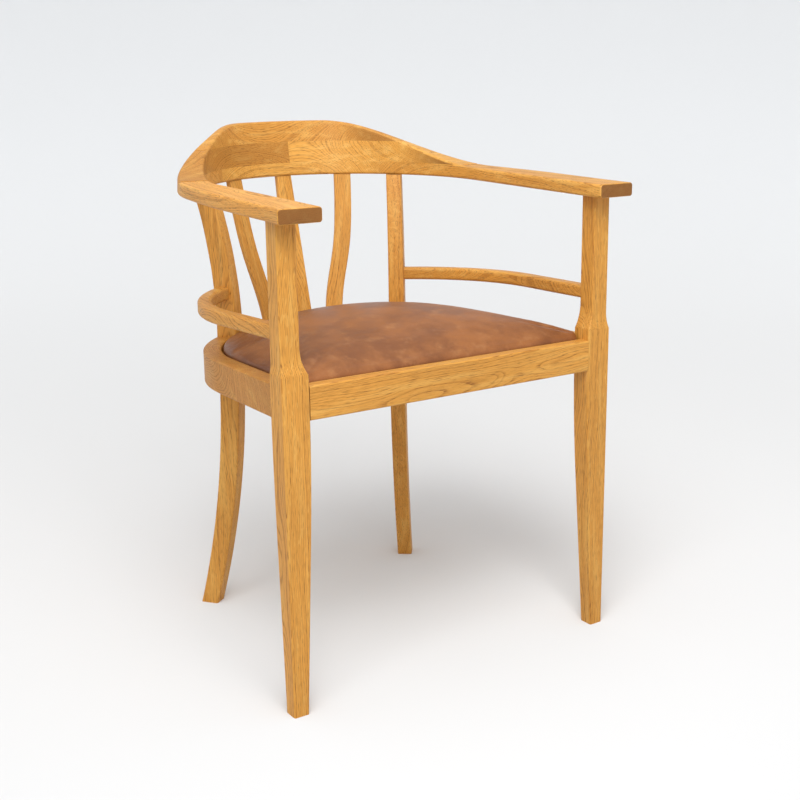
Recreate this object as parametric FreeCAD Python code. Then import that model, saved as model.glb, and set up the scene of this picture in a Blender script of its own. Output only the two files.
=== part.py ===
import FreeCAD, Part
import math
import os

# Captains chair in solid oak with a drop-in leather seat. Millimetres, +Z up, the front faces -Y.
# It is drawn with Y = 0 on the front faces of the front legs, and moved to its own origin when written.
# Left and right are as seen from the front. The right half is drawn, and the left half is its mirror.

V = FreeCAD.Vector
UP = V(0, 0, 1)

# Heights above the floor
arm_underside = 666.3
arm_thick = 19.6
lower_layer = 20.4
middle_layer = 33.0
crest_top_height = 751.5
rail_top = 455.0
rail_height = 46.0
ledge_height = 469.6

# Bow seen from above: a half circle at the back that runs on into the two arms
bow_radius = 218.0
bow_centre_y = 268.0
arm_spread = 1.0
arm_front_y = -29.0
bow_width = 33.0
arm_width = 58.0
arm_full_y = 120.0
paddle_length = 60.0
paddle_out = 2.8
paddle_in = 0.3
arm_end_round = 2.0
crest_edge = 12.0
crest_feather = 0.8
crest_lean = 0.19
crest_flat_angle = 17.0
crest_end_angle = 87.0
widen_angle = 40.0
top_widen_start = 30.0
top_widen_end = 80.0
lean_end_angle = 44.0
bow_bottom_round = 4.0
bow_top_round = 4.5
left_joint_angle = 36.0
right_joint_angle = 39.5
middle_joint_angle = 3.0
dowel_radius = 4.0
dowel_length = 30.0
dowel_pitch = 15.0
section_turn = 5.0

# Front legs
leg_outer = 271.9
leg_width = 39.7
leg_depth = 33.6
foot_inner_taper = 16.0
foot_back_taper = 11.7
foot_splay = 1.4
taper_low = 250.0
taper_high = 420.0
leg_round = 2.2
post_inner_step = 9.5
post_front_step = 4.9
post_outer_step = 2.0
flare_radius = 73.0

# Back legs, each a sabre leg below the seat that leans out above it
back_leg_x = 151.4
back_leg_y = 394.6
back_leg_turn = 37.5
back_leg_depth = 32.8
back_foot_depth = 28.5
back_top_depth = 29.0
back_leg_width = 25.8
back_end_width = 24.0
back_leg_round = 3.0
foot_kick = 50.0
foot_kick_turn = 42.5
top_lean_x = 16.9
top_lean_y = 31.4
kick_height = 380.0
lean_height = 450.0

# Seat frame: a ring that falls towards the back
ring_radius = 256.0
ring_width = 26.0
ring_centre_y = 208.5
ring_spread = 3.2
seat_slope = -0.04
rail_round = 2.5
front_rail_thick = 19.0

# Arm stretchers
stretcher_radius = 269.2
stretcher_width = 20.0
stretcher_centre_y = 188.0
stretcher_spread = -1.8
stretcher_top = 532.8
stretcher_height = 19.5
stretcher_round = 4.5

# Back slats
slat_thick = 9.5
slat_set_back = 3.0
slat_foot_forward = 3.9
slat_round = 2.0
slat_over = 0.1
centre_slat_top = 25.6
centre_slat_foot = 40.0
side_slat_width = 27.0
side_slat_turn = 20.0
side_slat_top_x = 96.8
side_slat_foot_x = 57.6
# Share of a side slat's sideways drift that is reached at each share of its length
slat_curve = ((-0.14, -0.02), (0.0, 0.0), (0.15, 0.11), (0.32, 0.39), (0.5, 0.71), (0.75, 0.93), (1.0, 1.0),
              (1.08, 1.01))

# Tenons, and the gap that the glue takes round each of them
tenon_thick = 10.0
tenon_height = 32.0
post_tenon = 14.0
post_tenon_height = 13.0
leg_tenon_length = 14.0
back_tenon_length = 12.0
slat_tenon_thick = 6.0
slat_tenon_inset = 4.0
slat_tenon_length = 12.0
stretcher_tenon = 11.0
stretcher_tenon_length = 10.0
glue_gap = 0.1
tenon_root = 1.0
band_over = 15.0

# Seat pad: leather over foam over a plywood board
pad_gap = 1.5
pad_drop = 16.0
pad_shoulder = 12.0
pad_crown = 46.0
pad_corner = 10.0
pad_corner_growth = 0.6
pad_corner_limit = 0.7
pad_bottom_inset = 2.0
pad_top_inset = 0.8
pad_bend_inset = 4.0
pad_bend_lift = 8.5
pad_crown_inset = 12.0
pad_crown_shares = (0.0, 0.1, 0.22, 0.36, 0.5, 0.64, 0.78, 0.9)
leather_thick = 1.6
leather_turn_under = 26.0
board_thick = 12.0

# Corner blocks and screws
block_height = 24.0
front_block_leg = 66.0
back_block_width = 84.0
back_block_depth = 34.0
back_block_turn = 35.5
back_screw_turn = 7.5
seat_screw_inset = 0.34
block_screw_inset = 0.42
side_screw_inset = 8.0
screw_radius = 2.0
screw_head_radius = 4.0
screw_head_height = 3.0
screw_tip_radius = 0.4
seat_screw_length = 32.0
block_screw_length = 24.0
screw_gap = 0.1

# Worked out from the sizes above
arm_top = arm_underside + arm_thick
low_glue_line = arm_underside + lower_layer
high_glue_line = low_glue_line + middle_layer
rail_bottom = rail_top - rail_height
waist = rail_top - rail_height / 2
ring_top_at_front = rail_top - seat_slope * leg_depth
leg_inner = leg_outer - leg_width
post_outer = leg_outer - post_outer_step
post_inner = leg_inner + post_inner_step
post_middle_x = (post_outer + post_inner) / 2
post_middle_y = (post_front_step + leg_depth) / 2
bow_back_y = bow_centre_y + bow_radius + bow_width
middle_y = (arm_front_y + bow_back_y) / 2
pad_radius = ring_radius - ring_width - pad_gap
pad_front_y = front_rail_thick + pad_gap
far = 2000.0


def smooth(t):
    """Rises from 0 to 1 while t does, level at both ends."""
    t = min(1.0, max(0.0, t))
    return (1 - math.cos(math.pi * t)) / 2


def direction(turn):
    """The level direction at so many degrees from straight back, towards the right."""
    a = math.radians(turn)
    return V(math.sin(a), math.cos(a), 0)


def mirrored(shape):
    return shape.mirror(V(0, 0, 0), V(1, 0, 0))


def seat_height(y):
    """Height of the seat frame's sloping top edge."""
    return ring_top_at_front + seat_slope * y


def block(x, y, z):
    """A box between the pairs of limits x, y and z."""
    return Part.makeBox(x[1] - x[0], y[1] - y[0], z[1] - z[0], V(x[0], y[0], z[0]))


def prism(points, height):
    """A level polygon raised by a height."""
    return Part.Face(Part.makePolygon(points + points[:1])).extrude(UP * height)


def rounded_loop(corners, radii):
    """A closed wire through the corners, each rounded by its radius."""
    edges = []
    ends = []
    count = len(corners)
    for i, corner in enumerate(corners):
        before = corners[i - 1] - corner
        after = corners[(i + 1) % count] - corner
        half = before.getAngle(after) / 2
        before.normalize()
        after.normalize()
        reach = radii[i] / math.tan(half)
        middle = before + after
        middle.normalize()
        top = corner + middle * (radii[i] / math.sin(half) - radii[i])
        start = corner + before * reach
        end = corner + after * reach
        edges.append(Part.Arc(start, top, end).toShape())
        ends.append((start, end))
    wire = []
    for i, edge in enumerate(edges):
        wire.append(edge)
        wire.append(Part.LineSegment(ends[i][1], ends[(i + 1) % count][0]).toShape())
    return Part.Wire(wire)


def sloping_slab(top_at_front, height, slope=seat_slope):
    """Everything between two planes that fall together towards the back."""
    corners = []
    for y, z in ((-far, 0), (far, 0), (far, -height), (-far, -height)):
        corners.append(V(-far, y, top_at_front + slope * y + z))
    return Part.Face(Part.makePolygon(corners + corners[:1])).extrude(V(2 * far, 0, 0))


def sector(centre_y, start, end):
    """A tall wedge round the centre of a curve, between two directions."""
    steps = max(1, math.ceil(abs(end - start) / 60))
    points = [V(0, centre_y, 0)]
    for i in range(steps + 1):
        points.append(V(0, centre_y, 0) + direction(start + (end - start) * i / steps) * far)
    return prism(points, far)


def beyond(point, normal):
    """A big block on one side of a vertical plane, to cut a rail off there."""
    across = normal.cross(UP) * far
    corners = [point + across, point - across, point - across + normal * far, point + across + normal * far]
    return prism(corners, far)


def run_out(centre_y, radius, spread, front_y):
    """Where a side leaves its arc, and where it then ends at the front."""
    leave = 90 - spread
    point = V(0, centre_y, 0) + direction(leave) * radius
    length = (point.y - front_y) / math.cos(math.radians(spread))
    return point, point + direction(90 + leave) * length


def side_band(centre_y, radius, width, spread, back_turn, front_y):
    """A curved side seen from above, between two like outlines, raised to a tall prism."""
    outer, inner = [], []
    for r, line in ((radius, outer), (radius - width, inner)):
        leave, front = run_out(centre_y, r, spread, front_y)
        start = V(0, centre_y, 0) + direction(back_turn) * r
        half_way = V(0, centre_y, 0) + direction((back_turn + 90 - spread) / 2) * r
        line.append(Part.Arc(start, half_way, leave).toShape())
        line.append(Part.LineSegment(leave, front).toShape())
    front_edge = Part.LineSegment(outer[1].Vertexes[1].Point, inner[1].Vertexes[1].Point).toShape()
    back_edge = Part.LineSegment(outer[0].Vertexes[0].Point, inner[0].Vertexes[0].Point).toShape()
    wire = Part.Wire(Part.__sortEdges__(outer + inner + [front_edge, back_edge]))
    return Part.Face(wire).extrude(UP * far)


def long_edges(shape, least):
    """The edges that are long enough to be an arris and not the end of a piece."""
    return [e for e in shape.Edges if e.Length > least]


def bow_station(distance):
    """Point and outward direction on the bow's inner edge, this far from the back centre."""
    arc_end = math.radians(90 - arm_spread) * bow_radius
    if distance <= arc_end:
        out = direction(math.degrees(distance / bow_radius))
        return V(0, bow_centre_y, 0) + out * bow_radius, out
    leave, front = run_out(bow_centre_y, bow_radius, arm_spread, arm_front_y)
    along = front - leave
    along.normalize()
    return leave + along * (distance - arc_end), direction(90 - arm_spread)


def bow_length():
    """Distance along the inner edge from the back centre to the end of an arm."""
    leave, front = run_out(bow_centre_y, bow_radius, arm_spread, arm_front_y)
    return math.radians(90 - arm_spread) * bow_radius + (front - leave).Length


def bow_width_at(distance):
    start = math.radians(widen_angle) * bow_radius
    end = math.radians(90) * bow_radius + bow_centre_y - arm_full_y
    return bow_width + (arm_width - bow_width) * smooth((distance - start) / (end - start))


def bow_section(distance):
    """The bow's rounded section: level below, and above it the crest or the arm's flat top."""
    point, out = bow_station(distance)
    turn = abs(math.degrees(distance / bow_radius))
    falling = smooth((turn - crest_flat_angle) / (crest_end_angle - crest_flat_angle))
    height = crest_top_height + (arm_top - crest_top_height) * falling
    width = bow_width_at(distance)
    widened = smooth((turn - top_widen_start) / (top_widen_end - top_widen_start))
    top_width = crest_edge + (width - crest_edge) * widened
    leaning = 1 - smooth((turn - crest_flat_angle) / (lean_end_angle - crest_flat_angle))
    back = crest_lean * leaning * (height - arm_underside)
    paddle = max(0.0, 1 - (bow_length() - distance) / paddle_length) ** 2
    inner = -paddle_in * paddle
    outer = width + paddle_out * paddle
    corners = []
    for offset, z in ((inner, arm_underside), (inner + back, height),
                      (back + top_width + outer - width, height), (outer, arm_underside)):
        corners.append(point + out * offset + UP * z)
    return rounded_loop(corners, (bow_bottom_round, bow_top_round, bow_top_round, bow_bottom_round))


def crest_end(line):
    """The turn at which the falling crest comes down to a thin feather over a glue line."""
    falling = (crest_top_height - line - crest_feather) / (crest_top_height - arm_top)
    share = math.acos(1 - 2 * falling) / math.pi
    return crest_flat_angle + (crest_end_angle - crest_flat_angle) * share


def make_half_bow():
    """The right half of the bow before it is parted into its layers and lengths."""
    end = bow_length()
    steps = math.ceil(end / (math.radians(section_turn) * bow_radius))
    past_centre = 2
    places = [end * i / steps for i in range(-past_centre, steps + 1)]
    bow = Part.makeLoft([bow_section(d) for d in places], True, False)
    bow = bow.common(block((0, far), (-far, far), (0, far)))
    ends = [e for e in bow.Edges if max(v.Point.y for v in e.Vertexes) < arm_front_y + arm_end_round]
    return bow.makeFillet(arm_end_round, ends)


def make_dowels(extra):
    """Dowels across the bow's joints. The extra is the glue gap when holes are bored."""
    dowels = []
    radius = dowel_radius + extra
    length = dowel_length + 2 * extra
    low_middle = arm_underside + lower_layer / 2
    for side, turn in ((-1, left_joint_angle), (1, right_joint_angle)):
        distance = math.radians(turn) * bow_radius
        point, out = bow_station(distance)
        along = out.cross(UP)
        centre = point + out * (bow_width_at(distance) / 2)
        for shift in (-dowel_pitch / 2, dowel_pitch / 2):
            start = centre + out * shift - along * (length / 2) + UP * low_middle
            dowel = Part.makeCylinder(radius, length, start, along)
            dowels.append(dowel if side > 0 else mirrored(dowel))
    point, out = bow_station(math.radians(middle_joint_angle) * bow_radius)
    along = out.cross(UP)
    offset = bow_width / 2 + crest_lean * lower_layer
    for shift in (-dowel_pitch / 2, dowel_pitch / 2):
        start = point + out * offset - along * (length / 2)
        start += UP * (low_glue_line + middle_layer / 2 + shift)
        dowels.append(Part.makeCylinder(radius, length, start, along))
    return Part.makeCompound(dowels)


def leg_face(z, taper):
    """How far a tapered face stands in at this height: straight below, bent in between."""
    slope = taper / (taper_low + taper_high) * 2
    if z >= taper_high:
        return 0.0
    if z <= taper_low:
        return taper - slope * z
    return slope * (taper_high - z) ** 2 / (2 * (taper_high - taper_low))


def flare_reach(step):
    """How high above the ledge a flare of this step ends."""
    return math.sqrt(2 * flare_radius * step - step ** 2)


def flare(above, step):
    """How far the post's face stands in, this far above the ledge."""
    rest = flare_reach(step) - above
    if rest <= 0:
        return step
    return step - (flare_radius - math.sqrt(flare_radius ** 2 - rest ** 2))


def level_box(x, y, z, radius):
    """A rounded level section between the pairs of limits x and y."""
    corners = [V(x[0], y[0], z), V(x[1], y[0], z), V(x[1], y[1], z), V(x[0], y[1], z)]
    return rounded_loop(corners, [radius] * 4)


def front_leg_section(z):
    """The tapered leg's section below the ledge."""
    splay = foot_splay * (1 - z / ledge_height)
    inner = leg_inner + leg_face(z, foot_inner_taper)
    back = leg_depth - leg_face(z, foot_back_taper)
    return level_box((inner, leg_outer - splay), (-splay, back), z, leg_round)


def shoulder_section(above):
    """The flared shoulder's section, this far above the ledge."""
    x = (leg_inner + flare(above, post_inner_step), leg_outer - flare(above, post_outer_step))
    return level_box(x, (flare(above, post_front_step), leg_depth), ledge_height + above, leg_round)


def make_front_leg():
    """Tapered leg, ledge, flared shoulder and square post in one length of wood."""
    bends = 6
    bent = [taper_low + (taper_high - taper_low) * i / bends for i in range(bends + 1)]
    reach = flare_reach(post_inner_step)
    rises = 9
    pieces = [
        Part.makeLoft([front_leg_section(z) for z in bent], True, False),
        Part.makeLoft([front_leg_section(z) for z in (taper_high, ledge_height)], True, True),
        Part.makeLoft([shoulder_section(reach * i / rises) for i in range(rises + 1)], True, False),
        Part.Face(shoulder_section(reach)).extrude(UP * (arm_underside - ledge_height - reach)),
        front_post_tenon(0),
    ]
    leg = Part.makeLoft([front_leg_section(z) for z in (0.0, taper_low)], True, True)
    return leg.fuse(pieces).removeSplitter()


def front_post_tenon(extra):
    """The square tenon on top of a front post, which starts inside the post."""
    half = post_tenon / 2 + extra
    return block((post_middle_x - half, post_middle_x + half), (post_middle_y - half, post_middle_y + half),
                 (arm_underside - tenon_root, arm_underside + post_tenon_height + extra))


def back_leg_centre(z):
    """The back leg's middle at this height: a kicked foot, an upright waist and a leaning post."""
    centre = V(back_leg_x, back_leg_y, z)
    if z < kick_height:
        centre += direction(foot_kick_turn) * (foot_kick * (1 - z / kick_height) ** 2)
    if z > lean_height:
        share = ((z - lean_height) / (arm_underside - lean_height)) ** 2
        centre += V(top_lean_x, top_lean_y, 0) * share
    return centre


def back_leg_half(z, middle, foot, top):
    """Half of a size that tapers from the middle of the rails to the foot and to the top."""
    if z < waist:
        return (middle + (foot - middle) * (waist - z) / waist) / 2
    return (middle + (top - middle) * (z - waist) / (arm_underside - waist)) / 2


def back_leg_half_width(z):
    return back_leg_half(z, back_leg_width, back_end_width, back_end_width)


def make_back_leg():
    """Kicked foot, waist between the rails and leaning post in one length of wood."""
    out = direction(back_leg_turn)
    along = out.cross(UP)
    sections = []
    kicks = 8
    leans = 6
    heights = [kick_height * i / kicks for i in range(kicks + 1)]
    heights += [rail_bottom, waist, lean_height]
    heights += [lean_height + (arm_underside - lean_height) * i / leans for i in range(1, leans + 1)]
    for z in heights:
        centre = back_leg_centre(z)
        depth = out * back_leg_half(z, back_leg_depth, back_foot_depth, back_top_depth)
        width = along * back_leg_half_width(z)
        corners = [centre - depth - width, centre - depth + width, centre + depth + width, centre + depth - width]
        sections.append(rounded_loop(corners, [back_leg_round] * 4))
    leg = Part.makeLoft(sections, True, False)
    return leg.fuse(back_post_tenon(0)).removeSplitter()


def back_post_tenon(extra):
    """The square tenon on top of a back post, which starts inside the post."""
    half = post_tenon / 2 + extra
    out = direction(back_leg_turn)
    along = out.cross(UP)
    base = back_leg_centre(arm_underside) - UP * tenon_root
    corners = [base + out * a * half + along * b * half for a, b in ((-1, -1), (-1, 1), (1, 1), (1, -1))]
    return prism(corners, post_tenon_height + extra + tenon_root)


def leg_side(z, sign):
    """Point and direction of a back leg's side face: sign 1 is towards the front, -1 towards the back."""
    along = direction(back_leg_turn).cross(UP) * sign
    return back_leg_centre(z) + along * back_leg_half_width(z), along


def make_side_rail(width, height, reach):
    """One side of the seat frame. The tenons are the same band made thinner and longer."""
    inset = (ring_width - width) / 2
    band = side_band(ring_centre_y, ring_radius - inset, width, ring_spread, back_leg_turn - band_over,
                     leg_depth - reach)
    top = ring_top_at_front - (rail_height - height) / 2
    band = band.common(sloping_slab(top, height))
    point, along = leg_side(rail_bottom, 1)
    base = V(point.x, point.y, 0)
    return band.cut(beyond(base - along * reach, along * -1))


def make_back_rail(width, height, reach):
    """The back of the seat frame, between the back legs."""
    inset = (ring_width - width) / 2
    centre = V(0, ring_centre_y, 0)
    ring = Part.makeCylinder(ring_radius - inset, far, centre)
    ring = ring.cut(Part.makeCylinder(ring_radius - inset - width, far, centre))
    top = ring_top_at_front - (rail_height - height) / 2
    ring = ring.common(sloping_slab(top, height))
    point, along = leg_side(rail_bottom, -1)
    base = V(point.x, point.y, 0) - along * reach
    side = beyond(base, along * -1)
    front = block((-far, far), (-far, ring_centre_y), (0, far))
    return ring.cut([side, mirrored(side), front])


def make_front_rail():
    body = block((-leg_inner, leg_inner), (0, front_rail_thick), (rail_bottom, rail_top))
    return body.makeFillet(rail_round, long_edges(body, leg_inner))


def front_rail_tenons(extra):
    half = tenon_thick / 2 + extra
    middle = front_rail_thick / 2
    reach = leg_inner + leg_tenon_length + extra
    return block((-reach, reach), (middle - half, middle + half),
                 (waist - tenon_height / 2 - extra, waist + tenon_height / 2 + extra))


def make_stretcher(width, height, reach):
    """The curved rail under an arm, from the front post to the back post."""
    inset = (stretcher_width - width) / 2
    band = side_band(stretcher_centre_y, stretcher_radius - inset, width, stretcher_spread,
                     back_leg_turn - band_over, leg_depth - reach)
    top = stretcher_top - (stretcher_height - height) / 2
    band = band.common(sloping_slab(top, height))
    point, along = leg_side(stretcher_top + seat_slope * back_leg_y, 1)
    base = V(point.x, point.y, 0)
    return band.cut(beyond(base - along * reach, along * -1))


def slat_frame(side):
    """Foot, top and axes of a slat: where it stands in the back rail and where it meets the bow."""
    middle_radius = ring_radius - ring_width / 2 - slat_foot_forward
    foot_x = side_slat_foot_x if side else 0.0
    top_x = side_slat_top_x if side else 0.0
    foot_y = ring_centre_y + math.sqrt(middle_radius ** 2 - foot_x ** 2)
    bow_middle = bow_radius + slat_set_back + slat_thick / 2
    top_y = bow_centre_y + math.sqrt(bow_middle ** 2 - top_x ** 2)
    foot = V(foot_x, foot_y, seat_height(foot_y))
    top = V(top_x, top_y, arm_underside)
    across = direction(90 + (side_slat_turn if side else 0))
    return foot, top, across


def side_slat_face(length, drift, width):
    """A side slat's curved outline, which drifts outwards as it rises."""
    left = [V(drift * over - width / 2, length * up, 0) for up, over in slat_curve]
    right = [point + V(width, 0, 0) for point in left]
    edges = [Part.LineSegment(left[0], right[0]).toShape(), Part.LineSegment(left[-1], right[-1]).toShape()]
    for line in (left, right):
        curve = Part.BSplineCurve()
        curve.interpolate(line)
        edges.append(curve.toShape())
    return Part.Face(Part.Wire(Part.__sortEdges__(edges)))


def centre_slat_face(length, width_change):
    """The centre slat's straight outline, which narrows as it rises."""
    corners = []
    for up in (-slat_over, 1 + slat_over):
        half = (centre_slat_foot + (centre_slat_top - centre_slat_foot) * up + width_change) / 2
        corners.append((V(-half, up * length, 0), V(half, up * length, 0)))
    points = [corners[0][0], corners[0][1], corners[1][1], corners[1][0]]
    return Part.Face(Part.makePolygon(points + points[:1]))


def slat_plate(side, width_change, thick, over):
    """A slat's flat board, run on past both ends by the amount over."""
    foot, top, across = slat_frame(side)
    rise = top - foot
    front = across.cross(rise)
    front.normalize()
    up = front.cross(across)
    length = rise.dot(up)
    if side:
        face = side_slat_face(length, rise.dot(across), side_slat_width + width_change)
    else:
        face = centre_slat_face(length, width_change)
    plate = face.extrude(V(0, 0, thick))
    plate.translate(V(0, 0, -thick / 2))
    if width_change == 0:
        plate = plate.makeFillet(slat_round, long_edges(plate, length / 2))
    turn = FreeCAD.Matrix(across.x, up.x, front.x, foot.x, across.y, up.y, front.y, foot.y,
                          across.z, up.z, front.z, foot.z, 0, 0, 0, 1)
    plate = plate.transformed(turn)
    plate = plate.cut(block((-far, far), (-far, far), (arm_underside + over, far)))
    return plate.cut(sloping_slab(ring_top_at_front - over, far))


def make_slat(side):
    tenon = slat_plate(side, -2 * slat_tenon_inset, slat_tenon_thick, slat_tenon_length)
    return slat_plate(side, 0, slat_thick, 0).fuse(tenon).removeSplitter()


def slat_hole(side):
    return slat_plate(side, -2 * slat_tenon_inset + 2 * glue_gap, slat_tenon_thick + 2 * glue_gap,
                      slat_tenon_length + glue_gap)


def pad_outline(inset, lift):
    """The pad's edge seen from above, drawn in by the inset and lifted off the seat's sloping plane."""
    radius = pad_radius - inset
    front_y = pad_front_y + inset * (ring_centre_y - pad_front_y) / pad_radius
    leave, front = run_out(ring_centre_y, radius, ring_spread, front_y)
    back = V(0, ring_centre_y + radius, 0)
    half_way = V(0, ring_centre_y, 0) + direction((90 - ring_spread) / 2) * radius
    along = leave - front
    along.normalize()
    corner = min(pad_corner + max(0.0, inset) * pad_corner_growth, radius * pad_corner_limit)
    side_start = front + along * corner
    front_start = front - V(corner, 0, 0)
    middle = (side_start + front_start) * 0.5
    bend = middle + (front - middle) * (math.sqrt(2) - 1)
    right = [Part.Arc(back, half_way, leave).toShape(), Part.LineSegment(leave, side_start).toShape(),
             Part.Arc(side_start, bend, front_start).toShape()]
    left = [mirrored(e) for e in right]
    front_edge = Part.LineSegment(front_start, V(-front_start.x, front_start.y, 0)).toShape()
    wire = Part.Wire(Part.__sortEdges__(right + left + [front_edge]))
    lean = FreeCAD.Matrix()
    lean.A32 = seat_slope
    lean.A34 = ring_top_at_front + lift
    return wire.transformGeometry(lean)


def pad_body(skin):
    """The pad's crowned form, smaller all round by the skin, with notches for the front legs."""
    edge = [(pad_bottom_inset, skin - pad_drop), (0.0, -pad_drop / 2), (pad_top_inset, 0.0),
            (pad_bend_inset, pad_bend_lift - skin / 2)]
    crown = []
    for share in pad_crown_shares:
        lift = pad_shoulder + (pad_crown - pad_shoulder) * (1 - (1 - share) ** 2) - skin
        crown.append((pad_crown_inset + (pad_radius - pad_crown_inset) * share, lift))
    sections = [pad_outline(inset + skin, lift) for inset, lift in edge + crown]
    body = Part.makeLoft(sections, True, False)
    notch = block((leg_inner - pad_gap - skin, far), (-far, leg_depth + pad_gap + skin), (0, far))
    return body.cut([notch, mirrored(notch)])


def make_board():
    body = pad_body(leather_thick)
    return body.common(sloping_slab(ring_top_at_front - pad_drop + leather_thick + board_thick, board_thick))


def make_foam():
    body = pad_body(leather_thick)
    return body.cut(sloping_slab(ring_top_at_front - pad_drop + leather_thick + board_thick, far))


def make_leather():
    shell = pad_body(0).cut(pad_body(leather_thick))
    outline = pad_outline(leather_turn_under, -pad_drop - far / 2)
    return shell.cut(Part.Face(outline).extrude(UP * (far / 2 + leather_thick + 1)))


def screw(point, along, length, extra):
    """A countersunk wood screw whose head is flush at the point, grown by the extra for its hole."""
    axis = V(along)
    axis.normalize()
    head = Part.makeCone(screw_head_radius + extra, screw_radius + extra, screw_head_height, point, axis)
    tip_length = 2 * screw_radius
    shank = Part.makeCylinder(screw_radius + extra, length - tip_length, point, axis)
    tip = Part.makeCone(screw_radius + extra, screw_tip_radius + extra, tip_length + extra,
                        point + axis * (length - tip_length), axis)
    return head.fuse([shank, tip]).removeSplitter()


def block_slab():
    return sloping_slab(ring_top_at_front - pad_drop, block_height)


def make_front_block():
    """A three-cornered block behind the front leg, fitted to the rails and round the leg."""
    corner = V(leg_inner + ring_width / 2, front_rail_thick, 0)
    reach = front_block_leg + ring_width / 2
    points = [corner, corner + V(0, reach, 0), corner + V(-reach, 0, 0)]
    return prism(points, far).common(block_slab())


def make_back_block():
    """A block across the inner side of the back leg, fitted to the ring and round the leg."""
    out = direction(back_block_turn)
    along = out.cross(UP)
    centre = V(0, ring_centre_y, 0) + out * (ring_radius - ring_width)
    half = back_block_width / 2
    points = [centre + along * half, centre + along * half - out * back_block_depth,
              centre - along * half - out * back_block_depth, centre - along * half]
    outside = Part.makeCylinder(ring_radius - ring_width, far, V(0, ring_centre_y, 0))
    return prism(points, far).common(block_slab()).common(outside)


def seat_screw_places():
    """Where a screw goes up through each right-hand corner block into the seat board."""
    inset = front_block_leg * seat_screw_inset
    corner = V(leg_inner - inset, front_rail_thick + inset, 0)
    out = direction(back_block_turn)
    back = V(0, ring_centre_y, 0) + out * (ring_radius - ring_width - back_block_depth * (1 - seat_screw_inset))
    return [corner, back]


def seat_screws(extra):
    screws = []
    for place in seat_screw_places():
        z = seat_height(place.y) - pad_drop - block_height
        start = V(place.x, place.y, z - extra * 2)
        screws.append(screw(start, UP, seat_screw_length, extra))
    return screws


def block_screws(extra):
    """Screws that hold each right-hand corner block to the rails."""
    low = pad_drop + block_height / 2
    inset = front_block_leg * block_screw_inset
    front = V(leg_inner - inset, front_rail_thick + inset, seat_height(front_rail_thick) - low)
    side_y = leg_depth + inset
    side = V(leg_inner - side_screw_inset, side_y, seat_height(side_y) - low)
    places = [(front, V(0, -1, 0)), (side, V(1, 0, 0))]
    for sign in (-1, 1):
        out = direction(back_block_turn + sign * back_screw_turn)
        point = V(0, ring_centre_y, 0) + out * (ring_radius - ring_width - back_block_depth / 2)
        places.append((V(point.x, point.y, seat_height(point.y) - low), out))
    return [screw(point, along, block_screw_length, extra) for point, along in places]


def both(shapes):
    return shapes + [mirrored(s) for s in shapes]


os.makedirs("parts", exist_ok=True)


def write(name, shape):
    """Writes one piece, moved to the chair's own origin under the middle of its outline."""
    shape = shape.copy()
    shape.translate(V(0, -middle_y, 0))
    solids = shape.Solids
    volume = sum(s.Volume for s in solids)
    print("%-24s solids %d volume %.0f valid %s" % (name, len(solids), volume, shape.isValid()))
    (solids[0] if len(solids) == 1 else Part.makeCompound(solids)).exportStep("parts/" + name + ".step")


# Rails, stretchers and their tenons
grown = 2 * glue_gap
side_rail = make_side_rail(ring_width, rail_height, 0)
side_rail = side_rail.makeFillet(rail_round, long_edges(side_rail, rail_height + ring_width))
side_rail = side_rail.fuse(make_side_rail(tenon_thick, tenon_height, leg_tenon_length))
side_rail_holes = make_side_rail(tenon_thick + grown, tenon_height + grown, leg_tenon_length + glue_gap)
back_rail = make_back_rail(ring_width, rail_height, 0)
back_rail = back_rail.makeFillet(rail_round, long_edges(back_rail, rail_height + ring_width))
back_rail = back_rail.fuse(make_back_rail(tenon_thick, tenon_height, back_tenon_length))
back_rail_holes = make_back_rail(tenon_thick + grown, tenon_height + grown, back_tenon_length + glue_gap)
front_rail = make_front_rail().fuse(front_rail_tenons(0))
stretcher = make_stretcher(stretcher_width, stretcher_height, 0)
stretcher = stretcher.makeFillet(stretcher_round, long_edges(stretcher, rail_height + ring_width))
stretcher = stretcher.fuse(make_stretcher(stretcher_tenon, stretcher_tenon, stretcher_tenon_length))
stretcher_holes = make_stretcher(stretcher_tenon + grown, stretcher_tenon + grown,
                                 stretcher_tenon_length + glue_gap)

# Legs with their mortises
front_leg_whole = make_front_leg()
back_leg_whole = make_back_leg()
front_leg = front_leg_whole.cut([front_rail_tenons(glue_gap), side_rail_holes, stretcher_holes])
back_leg = back_leg_whole.cut([side_rail_holes, back_rail_holes, stretcher_holes])

# Back slats
slats = {"slat_centre": make_slat(0), "slat_right": make_slat(1), "slat_left": mirrored(make_slat(1))}
slat_holes = [slat_hole(0), slat_hole(1), mirrored(slat_hole(1))]
back_rail = back_rail.cut(slat_holes)

# Bow: three layers glued one on the other, each parted into its lengths
half_bow = make_half_bow()
holes = both([front_post_tenon(glue_gap), back_post_tenon(glue_gap)]) + slat_holes + [make_dowels(glue_gap)]
lower = half_bow.common(block((-far, far), (-far, far), (0, low_glue_line)))
middle = half_bow.common(block((-far, far), (-far, far), (low_glue_line, high_glue_line)))
middle = middle.common(sector(bow_centre_y, 0, crest_end(low_glue_line)))
upper = half_bow.common(block((-far, far), (-far, far), (high_glue_line, far)))
upper = upper.common(sector(bow_centre_y, 0, crest_end(high_glue_line)))
right_arm_cut = sector(bow_centre_y, right_joint_angle, 180)
left_arm_cut = sector(bow_centre_y, left_joint_angle, 180)
middle_cut = sector(bow_centre_y, middle_joint_angle, 180)
bow_pieces = {
    "arm_left": mirrored(lower.common(left_arm_cut)),
    "arm_right": lower.common(right_arm_cut),
    "bow_back": lower.cut(right_arm_cut).fuse(mirrored(lower.cut(left_arm_cut))),
    "crest_middle_left": mirrored(middle).fuse(middle.cut(middle_cut)),
    "crest_middle_right": middle.common(middle_cut),
    "crest_top": upper.fuse(mirrored(upper)),
}

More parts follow.
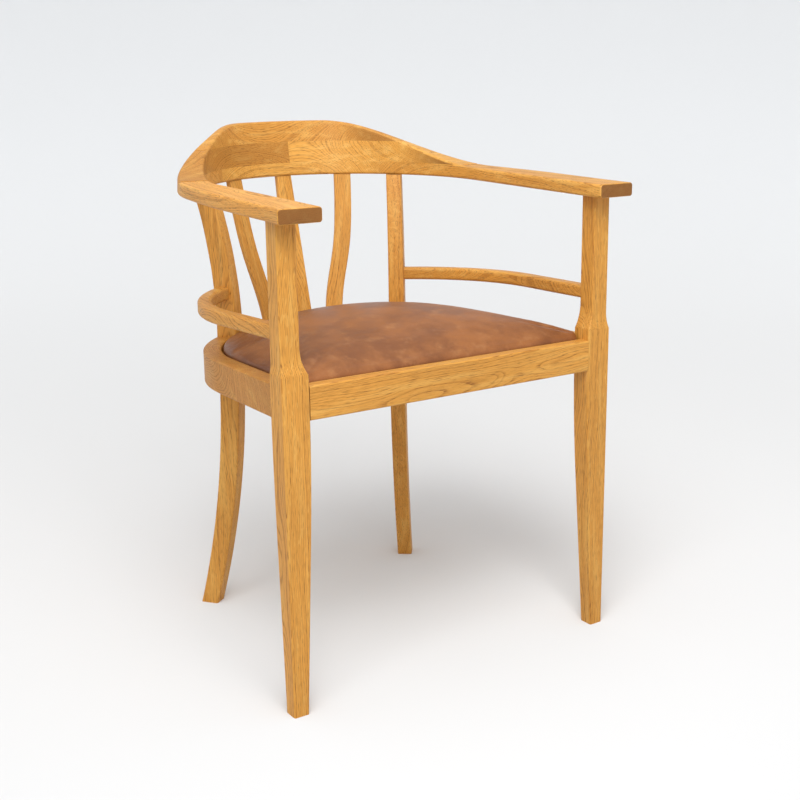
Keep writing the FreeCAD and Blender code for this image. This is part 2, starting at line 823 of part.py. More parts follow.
# Corner blocks, cut to fit what they touch and bored for their screws
screw_holes = both(seat_screws(screw_gap) + block_screws(screw_gap))
front_block = make_front_block().cut([front_leg_whole, side_rail, front_rail])
back_block = make_back_block().cut([back_leg_whole, side_rail, back_rail])

write("front_rail", front_rail.cut(screw_holes))
write("back_rail", back_rail.cut(screw_holes))
for name, shape in bow_pieces.items():
    write(name, shape.cut(holes))
write("bow_dowels", make_dowels(0))
for name, shape in slats.items():
    write(name, shape)
pairs = {"front_leg": front_leg, "back_leg": back_leg, "side_rail": side_rail, "arm_stretcher": stretcher,
         "corner_block_front": front_block, "corner_block_back": back_block}
for name, shape in pairs.items():
    write(name + "_right", shape.cut(screw_holes))
    write(name + "_left", mirrored(shape).cut(screw_holes))
write("seat_board", make_board().cut(screw_holes))
write("seat_foam", make_foam())
write("seat_leather", make_leather().cut(screw_holes))
write("seat_screws", Part.makeCompound(both(seat_screws(0))))
write("block_screws", Part.makeCompound(both(block_screws(0))))
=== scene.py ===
import math
import bmesh
import bpy
import numpy as np
from mathutils import Matrix, Vector


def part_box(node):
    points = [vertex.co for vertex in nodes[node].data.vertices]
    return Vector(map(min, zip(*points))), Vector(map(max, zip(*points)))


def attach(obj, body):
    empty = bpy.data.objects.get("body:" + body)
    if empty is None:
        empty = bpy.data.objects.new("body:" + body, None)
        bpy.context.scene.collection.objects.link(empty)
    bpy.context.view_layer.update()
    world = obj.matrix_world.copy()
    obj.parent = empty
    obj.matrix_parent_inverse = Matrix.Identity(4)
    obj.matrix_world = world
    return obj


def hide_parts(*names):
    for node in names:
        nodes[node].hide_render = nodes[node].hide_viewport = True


# Looks of an oak captains chair with a leather drop-in seat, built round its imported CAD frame. Metres.

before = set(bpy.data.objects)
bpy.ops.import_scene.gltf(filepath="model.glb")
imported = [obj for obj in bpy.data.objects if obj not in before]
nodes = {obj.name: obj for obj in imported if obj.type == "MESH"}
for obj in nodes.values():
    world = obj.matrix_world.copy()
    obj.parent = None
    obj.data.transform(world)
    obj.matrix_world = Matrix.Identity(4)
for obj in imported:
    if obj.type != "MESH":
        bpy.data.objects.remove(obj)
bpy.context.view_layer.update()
scene = bpy.context.scene
mm = 0.001
weld = 0.004 * mm
print("frame loaded")


def linear(code):
    # A colour written as sRGB hex, as the linear values that sockets take
    made = []
    for i in (1, 3, 5):
        value = int(code[i:i + 2], 16) / 255
        made.append(value / 12.92 if value <= 0.04045 else ((value + 0.055) / 1.055) ** 2.4)
    return (*made, 1.0)


def addNode(tree, kind, inputs=None, **settings):
    # One node: settings are its own choices, inputs are constants or sockets to join
    made = tree.nodes.new(kind)
    for name, value in settings.items():
        setattr(made, name, value)
    for socket, value in (inputs or {}).items():
        if isinstance(value, bpy.types.NodeSocket):
            tree.links.new(value, made.inputs[socket])
        else:
            made.inputs[socket].default_value = value
    return made


def calc(tree, operation, *values):
    return addNode(tree, "ShaderNodeMath", dict(enumerate(values)), operation=operation).outputs[0]


def vectorCalc(tree, operation, *values):
    made = addNode(tree, "ShaderNodeVectorMath", dict(enumerate(values)), operation=operation)
    return made.outputs["Value" if operation in ("LENGTH", "DOT_PRODUCT") else "Vector"]


def remap(tree, value, low, high, toLow=0.0, toHigh=1.0):
    # A smooth step of value from low to high
    made = addNode(tree, "ShaderNodeMapRange", {"Value": value, "From Min": low, "From Max": high,
                                                "To Min": toLow, "To Max": toHigh},
                   interpolation_type="SMOOTHSTEP")
    return made.outputs["Result"]


def noise(tree, vector, scale, detail=2.0, rough=0.5, output=0):
    made = addNode(tree, "ShaderNodeTexNoise", {"Vector": vector, "Scale": scale, "Detail": detail,
                                                "Roughness": rough})
    return made.outputs[output]


def stretched(tree, vector, along, across, through):
    return vectorCalc(tree, "MULTIPLY", vector, (along, across, through))


def drift(tree, vector, scale, detail, rough, reach):
    # A smooth random shift of places, up to half of reach either way on each axis
    cloud = noise(tree, vector, scale, detail, rough, "Color")
    shift = vectorCalc(tree, "SCALE", vectorCalc(tree, "SUBTRACT", cloud, (0.5, 0.5, 0.5)))
    shift.node.inputs["Scale"].default_value = reach
    return shift


def mixed(tree, share, first, second, blend="MIX"):
    made = addNode(tree, "ShaderNodeMix", {0: share, 6: first, 7: second}, data_type="RGBA", blend_type=blend)
    return made.outputs[2]


def newMaterial(name):
    material = bpy.data.materials.new(name)
    material.use_nodes = True
    tree = material.node_tree
    tree.nodes.clear()
    return material, tree


def surface(tree, kind, inputs):
    # The shader that ends a material's tree
    addNode(tree, "ShaderNodeOutputMaterial", {0: addNode(tree, kind, inputs).outputs[0]})


def bumped(tree, height, strength, depth):
    made = addNode(tree, "ShaderNodeBump", {"Height": height, "Strength": strength, "Distance": depth})
    return made.outputs["Normal"]


# Oiled oak. The grain is a solid: growth rings round a wandering pith, so end grain, straight grain and
# cathedral figure come out where each board's faces cut them.
oakLook = {
    "early": "#A96C29", "late": "#D89A43", "pale": "#E8B560", "pore": "#71421A", "end": "#6B3F1B",
    "ringWidth": 1.7 * mm, "contrast": 0.6, "roughness": 0.48, "bump": 0.16,
    "wander": 34 * mm, "ripple": 2.2 * mm, "poreDepth": 0.35 * mm,
}


def oakMaterial(name, look):
    material, tree = newMaterial(name)
    space, boardLook, axis = (
        addNode(tree, "ShaderNodeAttribute", attribute_name=attribute).outputs["Vector"]
        for attribute in ("boardSpace", "boardLook", "grainAxis"))
    tone, warmth, seed = addNode(tree, "ShaderNodeSeparateXYZ", {0: boardLook}).outputs
    apart = addNode(tree, "ShaderNodeCombineXYZ", {0: seed, 1: seed}).outputs[0]
    shifted = vectorCalc(tree, "ADD", space, apart)

    # The pith wanders slowly along the board and the rings ripple a little
    wander = drift(tree, stretched(tree, shifted, 3.2, 7.0, 7.0), 1.0, 2.0, 0.45, look["wander"])
    ripple = drift(tree, stretched(tree, shifted, 16.0, 70.0, 70.0), 1.0, 1.0, 0.5, look["ripple"])
    warped = vectorCalc(tree, "ADD", vectorCalc(tree, "ADD", space, wander), ripple)
    along, across, through = addNode(tree, "ShaderNodeSeparateXYZ", {0: warped}).outputs
    radius = calc(tree, "SQRT", calc(tree, "ADD", calc(tree, "MULTIPLY", across, across),
                                     calc(tree, "MULTIPLY", through, through)))
    rings = calc(tree, "DIVIDE", radius, look["ringWidth"])
    uneven = addNode(tree, "ShaderNodeTexNoise", {"W": rings, "Scale": 0.35, "Detail": 1.0},
                     noise_dimensions="1D").outputs[0]
    phase = calc(tree, "FRACT", calc(tree, "ADD", rings, calc(tree, "MULTIPLY", uneven, 2.4)))

    # Early wood is the dark porous band of each ring, late wood the dense pale rest
    early = calc(tree, "SUBTRACT", 1.0, remap(tree, phase, 0.10, 0.46))
    early = calc(tree, "MULTIPLY", early, remap(tree, phase, 0.0, 0.07))
    colour = mixed(tree, calc(tree, "MULTIPLY", early, look["contrast"]), linear(look["late"]),
                   linear(look["early"]))
    streaks = noise(tree, stretched(tree, shifted, 6.0, 110.0, 110.0), 1.0, 3.0)
    colour = mixed(tree, remap(tree, streaks, 0.45, 0.72, 0.0, 0.55), colour, linear(look["pale"]))

    # Long pores, thickest in the early wood, and short ones between them
    pores = noise(tree, stretched(tree, shifted, 70.0, 1150.0, 1150.0), 1.0, 1.0)
    poreMask = calc(tree, "MULTIPLY", remap(tree, pores, 0.53, 0.66),
                    calc(tree, "ADD", 0.38, calc(tree, "MULTIPLY", early, 0.62)))
    colour = mixed(tree, calc(tree, "MULTIPLY", poreMask, 0.72), colour, linear(look["pore"]))

    # Rays: thin sheets that run out from the pith, pale flecks where a face lies along them
    turn = calc(tree, "MULTIPLY", calc(tree, "ARCTAN2", across, through), 0.06)
    sheets = addNode(tree, "ShaderNodeCombineXYZ", {0: calc(tree, "MULTIPLY", along, 70.0),
                                                    1: calc(tree, "MULTIPLY", turn, 1300.0),
                                                    2: calc(tree, "MULTIPLY", radius, 55.0)}).outputs[0]
    rays = remap(tree, noise(tree, sheets, 1.0, 0.0), 0.66, 0.74)
    colour = mixed(tree, calc(tree, "MULTIPLY", rays, 0.34), colour, linear(look["pale"]))

    # Ends drink more oil, and each board has its own tone
    normal = addNode(tree, "ShaderNodeNewGeometry").outputs["Normal"]
    facing = calc(tree, "ABSOLUTE", vectorCalc(tree, "DOT_PRODUCT", normal, axis))
    ends = remap(tree, facing, 0.62, 0.97)
    colour = mixed(tree, calc(tree, "MULTIPLY", ends, 0.8), colour, linear(look["end"]))
    patches = noise(tree, stretched(tree, shifted, 5.0, 16.0, 16.0), 1.0, 2.0)
    level = calc(tree, "ADD", tone, calc(tree, "MULTIPLY", calc(tree, "SUBTRACT", patches, 0.5), 0.34))
    warm = calc(tree, "SUBTRACT", 1.0, calc(tree, "MULTIPLY", warmth, 0.5))
    hue = calc(tree, "SUBTRACT", 0.5, calc(tree, "MULTIPLY", warmth, 0.02))
    tuned = addNode(tree, "ShaderNodeHueSaturation", {
        "Hue": hue, "Saturation": 1.0, "Value": calc(tree, "ADD", 1.0, level), "Color": colour}).outputs[0]
    tint = addNode(tree, "ShaderNodeCombineXYZ", {0: 1.0, 1: 1.0, 2: warm}).outputs[0]
    tuned = mixed(tree, 1.0, tuned, tint, "MULTIPLY")
    height = calc(tree, "SUBTRACT", calc(tree, "MULTIPLY", streaks, 0.25), poreMask)
    roughness = calc(tree, "ADD", look["roughness"], calc(tree, "MULTIPLY", early, 0.09))
    roughness = calc(tree, "ADD", roughness, calc(tree, "MULTIPLY", ends, 0.14))
    surface(tree, "ShaderNodeBsdfPrincipled", {
        "Base Color": tuned, "Roughness": roughness,
        "Normal": bumped(tree, height, look["bump"], look["poreDepth"]), "Coat Weight": 0.04,
        "Coat Roughness": 0.35, "Specular IOR Level": 0.3})
    return material


oak = oakMaterial("oiledOak", oakLook)

# Each board: the way its grain runs, the face it was sawn to, where the pith lay from its middle (across
# and through, in mm), then its tone, warmth and seed
boards = {
    "arm_left": {"grain": (0.12, 1, 0), "face": (0, 0, 1), "pith": (18, -46), "look": (0.03, 0.1, 1.7)},
    "arm_right": {"grain": (-0.14, 1, 0), "face": (0, 0, 1), "pith": (-30, -52), "look": (0.0, 0.05, 7.3)},
    "bow_back": {"grain": (1, 0.06, 0), "face": (0, 0, 1), "pith": (40, -60), "look": (0.05, -0.2, 3.1)},
    "crest_middle_left": {"grain": (1, 0.42, 0), "face": (0, 0, 1), "pith": (60, -30),
                          "look": (-0.2, 0.3, 5.9)},
    "crest_middle_right": {"grain": (1, -0.16, 0), "face": (0, 0, 1), "pith": (-34, 42),
                           "look": (0.13, -0.2, 11.4)},
    "crest_top": {"grain": (1, 0.1, 0.02), "face": (0, 0, 1), "pith": (-30, -22), "look": (-0.04, 0.15, 2.6)},
    "front_leg_left": {"grain": (0.01, 0, 1), "face": (0, 1, 0), "pith": (70, 26), "look": (0.0, 0.1, 4.4)},
    "front_leg_right": {"grain": (-0.012, 0.004, 1), "face": (0, 1, 0), "pith": (-64, 22),
                        "look": (-0.03, 0.1, 8.8)},
    "back_leg_left": {"grain": (0.02, 0.05, 1), "face": (1, 1, 0), "pith": (40, 34),
                      "look": (-0.02, 0.1, 6.2)},
    "back_leg_right": {"grain": (-0.02, 0.05, 1), "face": (1, -1, 0), "pith": (30, -44),
                       "look": (-0.05, 0.2, 9.5)},
    "front_rail": {"grain": (1, 0.02, 0.03), "face": (0, 1, 0), "pith": (10, 15), "look": (-0.06, 0.1, 12.9)},
    "side_rail_left": {"grain": (-0.25, 1, 0.62), "face": (1, 0, 0), "pith": (16, 60),
                       "look": (-0.22, 0.4, 14.1)},
    "side_rail_right": {"grain": (0.3, 1, 0.1), "face": (1, 0, 0), "pith": (18, -40),
                        "look": (-0.04, 0.1, 15.6)},
    "back_rail": {"grain": (1, 0, 0), "face": (0, 1, 0), "pith": (16, 38), "look": (-0.03, 0.1, 16.3)},
    "arm_stretcher_left": {"grain": (0.12, 1, 0), "face": (1, 0, 0), "pith": (26, 30),
                           "look": (-0.04, 0.15, 17.7)},
    "arm_stretcher_right": {"grain": (-0.12, 1, 0), "face": (1, 0, 0), "pith": (24, -34),
                            "look": (-0.02, 0.1, 18.2)},
    "slat_left": {"grain": (-0.16, 0.1, 1), "face": (0, 1, 0), "pith": (12, 30), "look": (-0.08, 0.1, 19.5)},
    "slat_centre": {"grain": (0, 0.1, 1), "face": (0, 1, 0), "pith": (26, 34), "look": (-0.02, 0.0, 20.8)},
    "slat_right": {"grain": (0.14, 0.1, 1), "face": (0, 1, 0), "pith": (-16, 30), "look": (0.02, 0.05, 21.1)},
}


def vertexPlaces(mesh):
    places = np.empty(len(mesh.vertices) * 3)
    mesh.vertices.foreach_get("co", places)
    return places.reshape(-1, 3)


def addVectors(mesh, name, values):
    attribute = mesh.attributes.new(name, "FLOAT_VECTOR", "POINT")
    attribute.data.foreach_set("vector", np.asarray(values, np.float32).ravel())


def smoothCopy(node, name):
    # The CAD node's mesh is loose triangles: join them, and keep only its real arrises sharp
    mesh = nodes[node].data.copy()
    shape = bmesh.new()
    shape.from_mesh(mesh)
    bmesh.ops.remove_doubles(shape, verts=shape.verts, dist=weld)
    bmesh.ops.dissolve_degenerate(shape, edges=shape.edges, dist=weld / 2)
    bmesh.ops.recalc_face_normals(shape, faces=shape.faces)
    limit = math.radians(32.0)
    for face in shape.faces:
        face.smooth = True
    for edge in shape.edges:
        edge.smooth = len(edge.link_faces) == 2 and edge.calc_face_angle(0.0) < limit
    shape.to_mesh(mesh)
    shape.free()
    mesh.materials.clear()
    piece = bpy.data.objects.new(name, mesh)
    scene.collection.objects.link(piece)
    return piece


def applied(piece):
    # The evaluated mesh takes the place of the piece's own, and its modifiers go
    graph = bpy.context.evaluated_depsgraph_get()
    mesh = bpy.data.meshes.new_from_object(piece.evaluated_get(graph), preserve_all_data_layers=True,
                                           depsgraph=graph)
    piece.modifiers.clear()
    piece.data = mesh
    return piece


def flattenShading(piece):
    # Wide faces keep their own normals, so only the rounded arrises turn the light
    weights = piece.modifiers.new("faceWeights", "WEIGHTED_NORMAL")
    weights.keep_sharp = True
    weights.weight = 60
    return applied(piece)


def addBoard(piece, board):
    mesh = piece.data
    places = vertexPlaces(mesh)
    grain = np.array(Vector(board["grain"]).normalized())
    across = np.cross(np.array(board["face"], float), grain)
    across /= np.linalg.norm(across)
    through = np.cross(grain, across)
    middle = (places.min(0) + places.max(0)) / 2
    own = places - middle
    space = np.stack([own @ grain, own @ across - board["pith"][0] * mm,
                      own @ through - board["pith"][1] * mm], axis=1)
    addVectors(mesh, "boardSpace", space)
    addVectors(mesh, "grainAxis", np.tile(grain, (len(places), 1)))
    addVectors(mesh, "boardLook", np.tile(board["look"], (len(places), 1)))


def woodPieces(table, ending, material):
    for node, board in table.items():
        piece = flattenShading(smoothCopy(node, node + ending))
        addBoard(piece, board)
        piece.data.materials.append(material)
        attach(piece, "root")
        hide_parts(node)


woodPieces(boards, ".oak", oak)
print("oak boards done")

# Under the seat: planed offcut blocks, a plywood board, beech dowels and zinc screws
blockLook = {
    **oakLook, "early": "#94622F", "late": "#C8975A", "pale": "#D9B07A", "pore": "#6F4420",
    "end": "#7F5430", "ringWidth": 3.1 * mm, "contrast": 0.7, "roughness": 0.68, "bump": 0.2,
}
blockWood = oakMaterial("planedOak", blockLook)
blockBoards = {
    "corner_block_front_left": {"grain": (1, 1, 0), "face": (0, 0, 1), "pith": (30, 20),
                                "look": (0, 0, 31.0)},
    "corner_block_front_right": {"grain": (1, -1, 0), "face": (0, 0, 1), "pith": (26, -24),
                                 "look": (0.04, 0, 32.0)},
    "corner_block_back_left": {"grain": (1, 0.7, 0), "face": (0, 0, 1), "pith": (22, 30),
                               "look": (-0.05, 0, 33.0)},
    "corner_block_back_right": {"grain": (1, -0.7, 0), "face": (0, 0, 1), "pith": (34, -18),
                                "look": (0, 0, 34.0)},
}
woodPieces(blockBoards, ".wood", blockWood)


# Birch plywood: flat figure on its faces, stripes of veneer on its edges
def plywoodMaterial():
    look = {"pale": "#E0C091", "dark": "#C79B62", "glue": "#8A6238", "veneer": 1.4 * mm}
    material, tree = newMaterial("birchPlywood")
    place = addNode(tree, "ShaderNodeTexCoord").outputs["Object"]
    height = addNode(tree, "ShaderNodeSeparateXYZ", {0: place}).outputs[2]
    figure = noise(tree, stretched(tree, place, 8.0, 60.0, 20.0), 1.0, 4.0, 0.6)
    colour = mixed(tree, remap(tree, figure, 0.4, 0.66), linear(look["pale"]), linear(look["dark"]))
    stripe = calc(tree, "FRACT", calc(tree, "DIVIDE", height, look["veneer"] * 2))
    normal = addNode(tree, "ShaderNodeNewGeometry").outputs["Normal"]
    flat = calc(tree, "ABSOLUTE", addNode(tree, "ShaderNodeSeparateXYZ", {0: normal}).outputs[2])
    edge = calc(tree, "MULTIPLY", calc(tree, "SUBTRACT", 1.0, remap(tree, flat, 0.5, 0.9)),
                remap(tree, stripe, 0.46, 0.54))
    colour = mixed(tree, calc(tree, "MULTIPLY", edge, 0.6), colour, linear(look["glue"]))
    surface(tree, "ShaderNodeBsdfPrincipled", {
        "Base Color": colour, "Roughness": 0.7, "Normal": bumped(tree, figure, 0.12, 0.3 * mm)})
    return material


# Zinc-plated steel, a little dulled, with fine turning marks
def steelMaterial():
    material, tree = newMaterial("zincSteel")
    place = addNode(tree, "ShaderNodeTexCoord").outputs["Object"]
    marks = noise(tree, stretched(tree, place, 900.0, 900.0, 900.0), 1.0, 3.0)
    blotch = noise(tree, place, 420.0, 2.0)
    colour = mixed(tree, remap(tree, blotch, 0.4, 0.7), linear("#B9BBB6"), linear("#8F918C"))
    roughness = remap(tree, marks, 0.3, 0.8, 0.28, 0.5)
    surface(tree, "ShaderNodeBsdfPrincipled", {
        "Base Color": colour, "Metallic": 1.0, "Roughness": roughness,
        "Normal": bumped(tree, marks, 0.2, 0.05 * mm)})
    return material


# Beech dowels, with the fine short flecks of that wood
def beechMaterial():
    material, tree = newMaterial("beechDowel")
    place = addNode(tree, "ShaderNodeTexCoord").outputs["Object"]
    speck = noise(tree, place, 300.0, 4.0)
    colour = mixed(tree, remap(tree, speck, 0.35, 0.65), linear("#C9A06C"), linear("#B98C58"))
    surface(tree, "ShaderNodeBsdfPrincipled", {
        "Base Color": colour, "Roughness": 0.6, "Normal": bumped(tree, speck, 0.3, 0.3 * mm)})
    return material


def paint(node, material):
    # A CAD node that shows as it is takes its finish in its own material slot
    mesh = nodes[node].data
    mesh.materials.clear()
    mesh.materials.append(material)


steel = steelMaterial()
paint("seat_board", plywoodMaterial())
paint("bow_dowels", beechMaterial())
paint("seat_screws", steel)
paint("block_screws", steel)
print("seat underside done")


# Brown aniline leather: fine pebble grain with painted shade in the creases between, cloudy tone, and paler
# where it's rubbed
def leatherMaterial():
    look = {"deep": "#7F4B25", "mid": "#A06433", "worn": "#BC8350", "creaseShade": "#4F2E1B", "grain": 1500.0,
            "sway": 1.6 * mm, "roughness": 0.46}
    material, tree = newMaterial("brownLeather")
    place = addNode(tree, "ShaderNodeTexCoord").outputs["Object"]
    swayed = vectorCalc(tree, "ADD", place, drift(tree, place, 220.0, 2.0, 0.5, look["sway"]))
    cells = addNode(tree, "ShaderNodeTexVoronoi", {"Vector": swayed, "Scale": look["grain"] * 0.5},
                    feature="DISTANCE_TO_EDGE").outputs["Distance"]
    fine = addNode(tree, "ShaderNodeTexVoronoi", {"Vector": swayed, "Scale": look["grain"]},
                   feature="DISTANCE_TO_EDGE").outputs["Distance"]
    pebble = calc(tree, "ADD", remap(tree, cells, 0.0, 0.16),
                  calc(tree, "MULTIPLY", remap(tree, fine, 0.0, 0.2), 0.5))
    clouds = noise(tree, place, 13.0, 5.0, 0.6)
    spots = noise(tree, place, 46.0, 3.0, 0.6)
    colour = mixed(tree, remap(tree, clouds, 0.36, 0.66), linear(look["deep"]), linear(look["mid"]))
    colour = mixed(tree, remap(tree, spots, 0.5, 0.8, 0.0, 0.45), colour, linear(look["worn"]))
    # Painted shade: the creases between the pebbles are darkened towards a deep brown
    creaseShadeMask = calc(tree, "SUBTRACT", 1.0, remap(tree, pebble, 0.2, 1.2))
    colour = mixed(tree, calc(tree, "MULTIPLY", creaseShadeMask, 0.28), colour, linear(look["creaseShade"]))
    cloudy = calc(tree, "MULTIPLY", calc(tree, "SUBTRACT", clouds, 0.5), 0.3)
    surface(tree, "ShaderNodeBsdfPrincipled", {
        "Base Color": colour, "Roughness": calc(tree, "ADD", look["roughness"], cloudy),
        "Normal": bumped(tree, pebble, 0.25, 0.12 * mm), "Coat Weight": 0.05, "Coat Roughness": 0.3,
        "Specular IOR Level": 0.38})
    return material


leather = leatherMaterial()

# The pad: the CAD's leather, foam and board joined into one outer skin, then blown up as cloth on its board
padLook = {"voxel": 5.0 * mm, "shrink": 0.6 * mm, "pressure": 4.0, "frames": 20, "cap": 3.5 * mm,
           "heldBelow": 3.0 * mm, "underside": 14 * mm, "frontY": -245 * mm, "railTop": 456.344 * mm,
           "slope": -0.04}


def joinedCopy(names, name):
    shape = bmesh.new()
    for node in names:
        shape.from_mesh(nodes[node].data)
    bmesh.ops.remove_doubles(shape, verts=shape.verts, dist=weld)
    mesh = bpy.data.meshes.new(name)
    shape.to_mesh(mesh)
    shape.free()
    piece = bpy.data.objects.new(name, mesh)
    scene.collection.objects.link(piece)
    return piece


def padPiece(look):
    piece = joinedCopy(["seat_leather", "seat_foam", "seat_board"], "seatPad")
    skin = piece.modifiers.new("skin", "REMESH")
    skin.mode = "VOXEL"
    skin.voxel_size = look["voxel"]
    applied(piece)
    # Any skin left inside goes: only the largest closed shell is the pad
    shape = bmesh.new()
    shape.from_mesh(piece.data)
    left = set(shape.verts)
    groups = []
    while left:
        stack = [left.pop()]
        group = list(stack)
        while stack:
            for edge in stack.pop().link_edges:
                for other in edge.verts:
                    if other in left:
                        left.discard(other)
                        stack.append(other)
                        group.append(other)
        groups.append(group)
    groups.sort(key=len)
    for group in groups[:-1]:
        bmesh.ops.delete(shape, geom=group, context="VERTS")
    bmesh.ops.smooth_vert(shape, verts=shape.verts, factor=0.5, use_axis_x=True, use_axis_y=True,
                          use_axis_z=True)
    bmesh.ops.recalc_face_normals(shape, faces=shape.faces)
    for vert in shape.verts:
        vert.co -= vert.normal * look["shrink"]
    shape.to_mesh(piece.data)
    shape.free()
    return piece


def openUnderneath(piece):
    # The leather is turned under and tacked to the board, whose middle stays bare
    edge = turnedEdge()
    facingDown = -0.7
    shape = bmesh.new()
    shape.from_mesh(piece.data)
    bare = []
    for face in shape.faces:
        middle = face.calc_center_median()
        if face.normal.z < facingDown and insideOf(edge, middle.x, middle.y):
            bare.append(face)
    bmesh.ops.delete(shape, geom=bare, context="FACES")
    shape.to_mesh(piece.data)
    shape.free()


def turnedEdge():
    # The inner edge of the turned-under leather in the CAD, as a closed line of places
    places = vertexPlaces(nodes["seat_leather"].data)
    low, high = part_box("seat_board")
    middle = np.array([(low.x + high.x) / 2, (low.y + high.y) / 2])
    under = places[places[:, 2] < low.z + padLook["underside"]]
    angles = np.arctan2(under[:, 1] - middle[1], under[:, 0] - middle[0])
    reach = np.hypot(under[:, 0] - middle[0], under[:, 1] - middle[1])
    steps = 180
    window = math.radians(3.5)
    line = []
    for i in range(steps):
        turn = -math.pi + 2 * math.pi * i / steps
        near = np.abs(np.angle(np.exp(1j * (angles - turn)))) < window
        if near.any():
            inner = reach[near].min()
            line.append((middle[0] + inner * math.cos(turn), middle[1] + inner * math.sin(turn)))
    return line


def insideOf(line, x, y):
    inside = False
    for i, (ax, ay) in enumerate(line):
        bx, by = line[i - 1]
        if (ay > y) != (by > y) and x < (bx - ax) * (y - ay) / (by - ay) + ax:
            inside = not inside
    return inside


def blowUp(piece, look):
    # The leather swells as cloth under light pressure. All of it below the rails' sloping top is held.
    before = vertexPlaces(piece.data)
    heights = before[:, 2] - (look["railTop"] + look["slope"] * (before[:, 1] - look["frontY"]))
    group = piece.vertex_groups.new(name="held")
    group.add(np.flatnonzero(heights < look["heldBelow"]).tolist(), 1.0, "REPLACE")
    cloth = piece.modifiers.new("cloth", "CLOTH")
    fabric = {"quality": 6, "mass": 0.3, "tension_stiffness": 12, "compression_stiffness": 12,
              "bending_stiffness": 0.8, "use_pressure": True, "uniform_pressure_force": look["pressure"],
              "vertex_group_mass": "held"}
    for name, value in fabric.items():
        setattr(cloth.settings, name, value)
    cloth.settings.effector_weights.gravity = 0
    cloth.point_cache.frame_start = 1
    cloth.point_cache.frame_end = look["frames"]
    for number in range(1, look["frames"] + 1):
        scene.frame_set(number)
    applied(piece)
    piece.vertex_groups.clear()
    moved = vertexPlaces(piece.data) - before
    length = np.linalg.norm(moved, axis=1, keepdims=True)
    print("pad moved by up to", round(float(length.max()) / mm, 1), "mm")
    capped = before + moved * np.minimum(1.0, look["cap"] / np.maximum(length, 1e-9))
    piece.data.vertices.foreach_set("co", capped.ravel())


pad = padPiece(padLook)
blowUp(pad, padLook)
finer = pad.modifiers.new("finer", "SUBSURF")
finer.levels = 1
finer.render_levels = 1
applied(pad)
openUnderneath(pad)
for face in pad.data.polygons:
    face.use_smooth = True
pad.data.materials.clear()
pad.data.materials.append(leather)
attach(pad, "root")
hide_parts("seat_leather", "seat_foam")
print("leather pad done")

# Camera at the photo's own view, angles in degrees and lengths in mm of a 36 mm sensor
lens = {"place": (-1.04975, -1.74219, 0.89128), "yaw": 36.72, "pitch": 15.20, "roll": 0.40,
        "sensor": 36.0, "length": 61.70, "shift": (-0.12266, 0.00599), "near": 0.05, "far": 60.0}

# Studio: a pale floor that sweeps up behind, soft suns from the front left and above, two near lights
stageLook = {"near": "#DEDEDE", "far": "#F0F1F2", "nearReach": 0.9, "farReach": 5.0, "half": 9.0,
             "back": 2.6, "rise": 9.0, "bend": 4.6, "sky": 0.74, "skyColour": "#F6F7F8"}


def sweepPiece(look):
    # A floor that bends up smoothly behind the chair, square to the camera's view
    steps = 24
    line = [(-look["half"], 0.0)]
    for i in range(steps + 1):
        a = math.pi / 2 * i / steps
        line.append((look["back"] + look["bend"] * math.sin(a), look["bend"] * (1 - math.cos(a))))
    line.append((look["back"] + look["bend"], look["rise"]))
    yaw = math.radians(lens["yaw"])
    forward = Vector((math.sin(yaw), math.cos(yaw), 0))
    side = Vector((forward.y, -forward.x, 0))
    places = []
    for reach, height in line:
        for sign in (-1, 1):
            places.append(forward * reach + side * (sign * look["half"]) + Vector((0, 0, height)))
    faces = [(i * 2, i * 2 + 1, i * 2 + 3, i * 2 + 2) for i in range(len(line) - 1)]
    mesh = bpy.data.meshes.new("sweep")
    mesh.from_pydata(places, [], faces)
    for face in mesh.polygons:
        face.use_smooth = True
    piece = bpy.data.objects.new("sweep", mesh)
    scene.collection.objects.link(piece)
    return piece


sweep = sweepPiece(stageLook)
paper, tree = newMaterial("studioPaper")
# Painted shade and light: the paper's own colour runs from darker near the chair to paler far behind it
spread = vectorCalc(tree, "LENGTH", addNode(tree, "ShaderNodeTexCoord").outputs["Object"])
spread = remap(tree, spread, stageLook["nearReach"], stageLook["farReach"])
paperShadeRamp = mixed(tree, spread, linear(stageLook["near"]), linear(stageLook["far"]))
surface(tree, "ShaderNodeBsdfDiffuse", {"Color": paperShadeRamp, "Roughness": 1.0})
sweep.data.materials.append(paper)


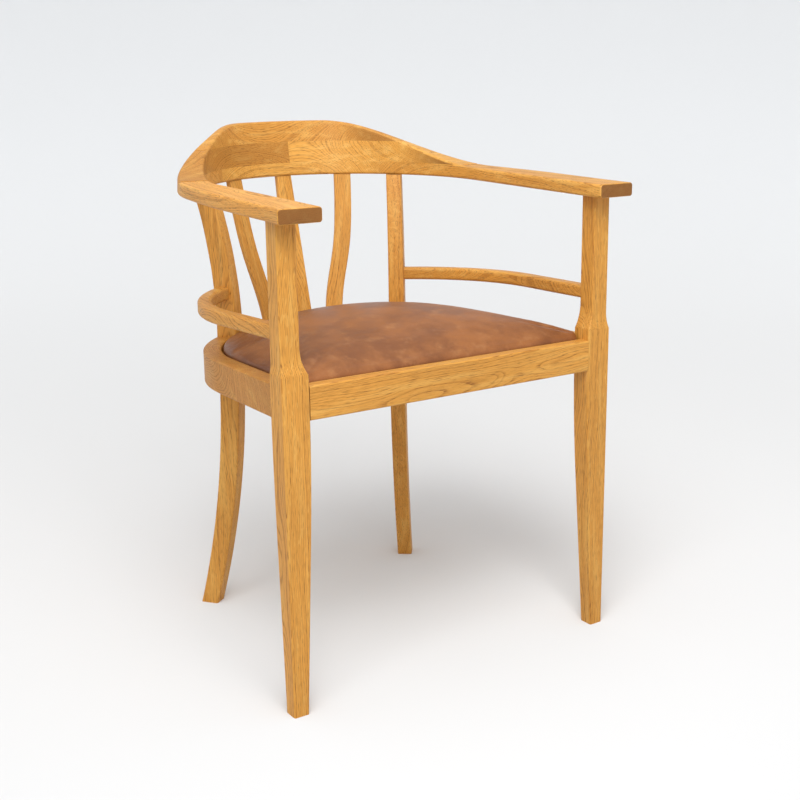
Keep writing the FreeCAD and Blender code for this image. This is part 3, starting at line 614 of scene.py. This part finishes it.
def stageLight(light, name, place, target):
    made = bpy.data.objects.new(name, light)
    made.location = place
    made.rotation_mode = "QUATERNION"
    made.rotation_quaternion = (Vector(target) - Vector(place)).to_track_quat("-Z", "Y")
    scene.collection.objects.link(made)


def sunLight(name, place, angle, power):
    # A far soft light that falls evenly over the whole floor
    light = bpy.data.lights.new(name, "SUN")
    light.angle = math.radians(angle)
    light.energy = power
    stageLight(light, name, place, (0, 0, 0))


def areaLight(name, place, target, size, power):
    light = bpy.data.lights.new(name, "AREA")
    light.shape = "SQUARE"
    light.size = size
    light.energy = power
    stageLight(light, name, place, target)


sunLight("key", (-1.5, -1.4, 2.6), 34.0, 0.66)
sunLight("top", (-0.2, 0.5, 3.0), 60.0, 0.42)
areaLight("front", (-0.7, -1.7, 2.0), (0, 0.15, 0.72), 1.2, 16.0)
areaLight("bow", (-0.35, -0.75, 1.55), (0, 0.25, 0.68), 0.7, 5.4)
world = bpy.data.worlds.new("studioWorld")
scene.world = world
world.use_nodes = True
world.node_tree.nodes.clear()
sky = addNode(world.node_tree, "ShaderNodeBackground", {"Color": linear(stageLook["skyColour"]),
                                                        "Strength": stageLook["sky"]})
addNode(world.node_tree, "ShaderNodeOutputWorld", {0: sky.outputs[0]})
scene.view_settings.view_transform = "Standard"

yaw, pitch, roll = (math.radians(lens[name]) for name in ("yaw", "pitch", "roll"))
forward = Vector((math.sin(yaw) * math.cos(pitch), math.cos(yaw) * math.cos(pitch), -math.sin(pitch)))
level = Vector((math.cos(yaw), -math.sin(yaw), 0))
upright = level.cross(forward)
right = level * math.cos(roll) + upright * math.sin(roll)
top = upright * math.cos(roll) - level * math.sin(roll)
view = bpy.data.cameras.new("photoView")
view.sensor_width = lens["sensor"]
view.lens = lens["length"]
view.shift_x, view.shift_y = lens["shift"]
view.clip_start = lens["near"]
view.clip_end = lens["far"]
camera = bpy.data.objects.new("photoView", view)
turn = Matrix((right, top, -forward)).transposed().to_4x4()
camera.matrix_world = Matrix.Translation(Vector(lens["place"])) @ turn
scene.collection.objects.link(camera)
scene.camera = camera
print("studio done")
